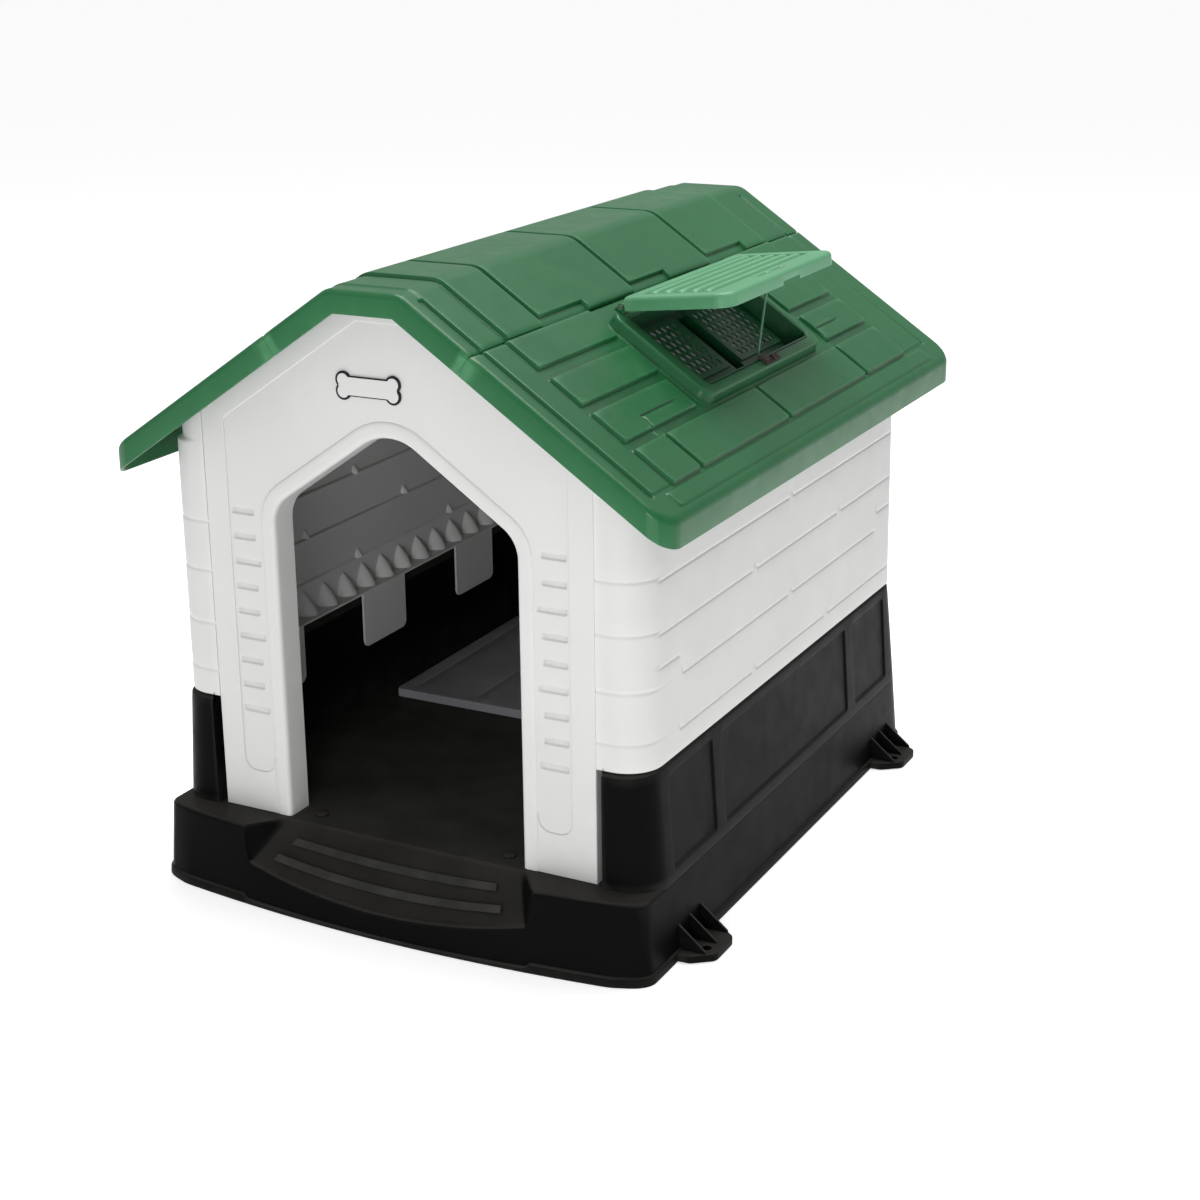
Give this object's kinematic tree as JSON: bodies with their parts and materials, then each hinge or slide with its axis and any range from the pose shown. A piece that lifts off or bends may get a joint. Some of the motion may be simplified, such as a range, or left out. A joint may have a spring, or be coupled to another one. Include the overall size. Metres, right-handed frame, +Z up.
{
  "type": "dog house",
  "caption": "Knock-down plastic dog house: white walls, green three-piece roof with a propped roof vent, black base with a porch.",
  "frame": {"origin": "on the ground under the middle of the whole house, halfway along and across its outer limits", "axes": "+Z up; +Y from the doorway towards the back wall, so the doorway faces -Y; +X towards the roof slope that carries the vent"},
  "size_m": [0.749, 0.929, 0.7616],
  "materials": {
    "base_black": "moulded satin black",
    "floor_grey": "moulded satin dark grey",
    "wall_white": "moulded satin white",
    "badge_ink": "printed plaque",
    "roof_green": "moulded satin green",
    "vent_green": "moulded satin dark green",
    "lid_green": "moulded satin light green",
    "rod_green": "light green coating",
    "catch_brown": "dark brown",
    "zinc": "zinc plated"
  },
  "bodies": {
    "house": {"base_tray": "base_black", "floor_panel": "floor_grey", "front_panel": "wall_white", "back_panel": "wall_white", "gable_badge": "badge_ink", "side_wall_left": "wall_white", "side_wall_right": "wall_white", "roof_ridge_cap": "roof_green", "roof_slope_left": "roof_green", "roof_slope_right": "roof_green", "vent_tray": "vent_green", "vent_grille_front": "vent_green", "vent_grille_rear": "vent_green", "hinge_pin_front": "zinc", "hinge_pin_rear": "zinc", "stay_catch": "catch_brown", "catch_screw_front": "zinc", "catch_screw_rear": "zinc", "wall_screw_front_right_low": "zinc", "wall_screw_front_right_high": "zinc", "wall_screw_front_left_low": "zinc", "wall_screw_front_left_high": "zinc", "wall_screw_back_right_low": "zinc", "wall_screw_back_right_high": "zinc", "wall_screw_back_left_low": "zinc", "wall_screw_back_left_high": "zinc", "ridge_screw_right_front": "zinc", "ridge_screw_right_back": "zinc", "ridge_screw_left_front": "zinc", "ridge_screw_left_back": "zinc"},
    "lid": {"vent_lid": "lid_green", "stay_pin": "zinc"},
    "stay": {"stay_rod": "rod_green"}
  },
  "joints": [
    {"name": "vent_lid_hinge", "type": "hinge", "parent": "house", "child": "lid", "pos_m": [0.16321, 0.0075, 0.70071], "axis": [0, -1, 0], "range_deg": [-40.2, 12]},
    {"name": "stay_rod_fold", "type": "hinge", "parent": "lid", "child": "stay", "pos_m": [0.28021, 0.0085, 0.71638], "axis": [0, -1, 0], "range_deg": [-78, 24]}
  ],
  "couplings": [
    {"joint": "stay_rod_fold", "follows": "vent_lid_hinge", "ratio": 1.9074}
  ]
}
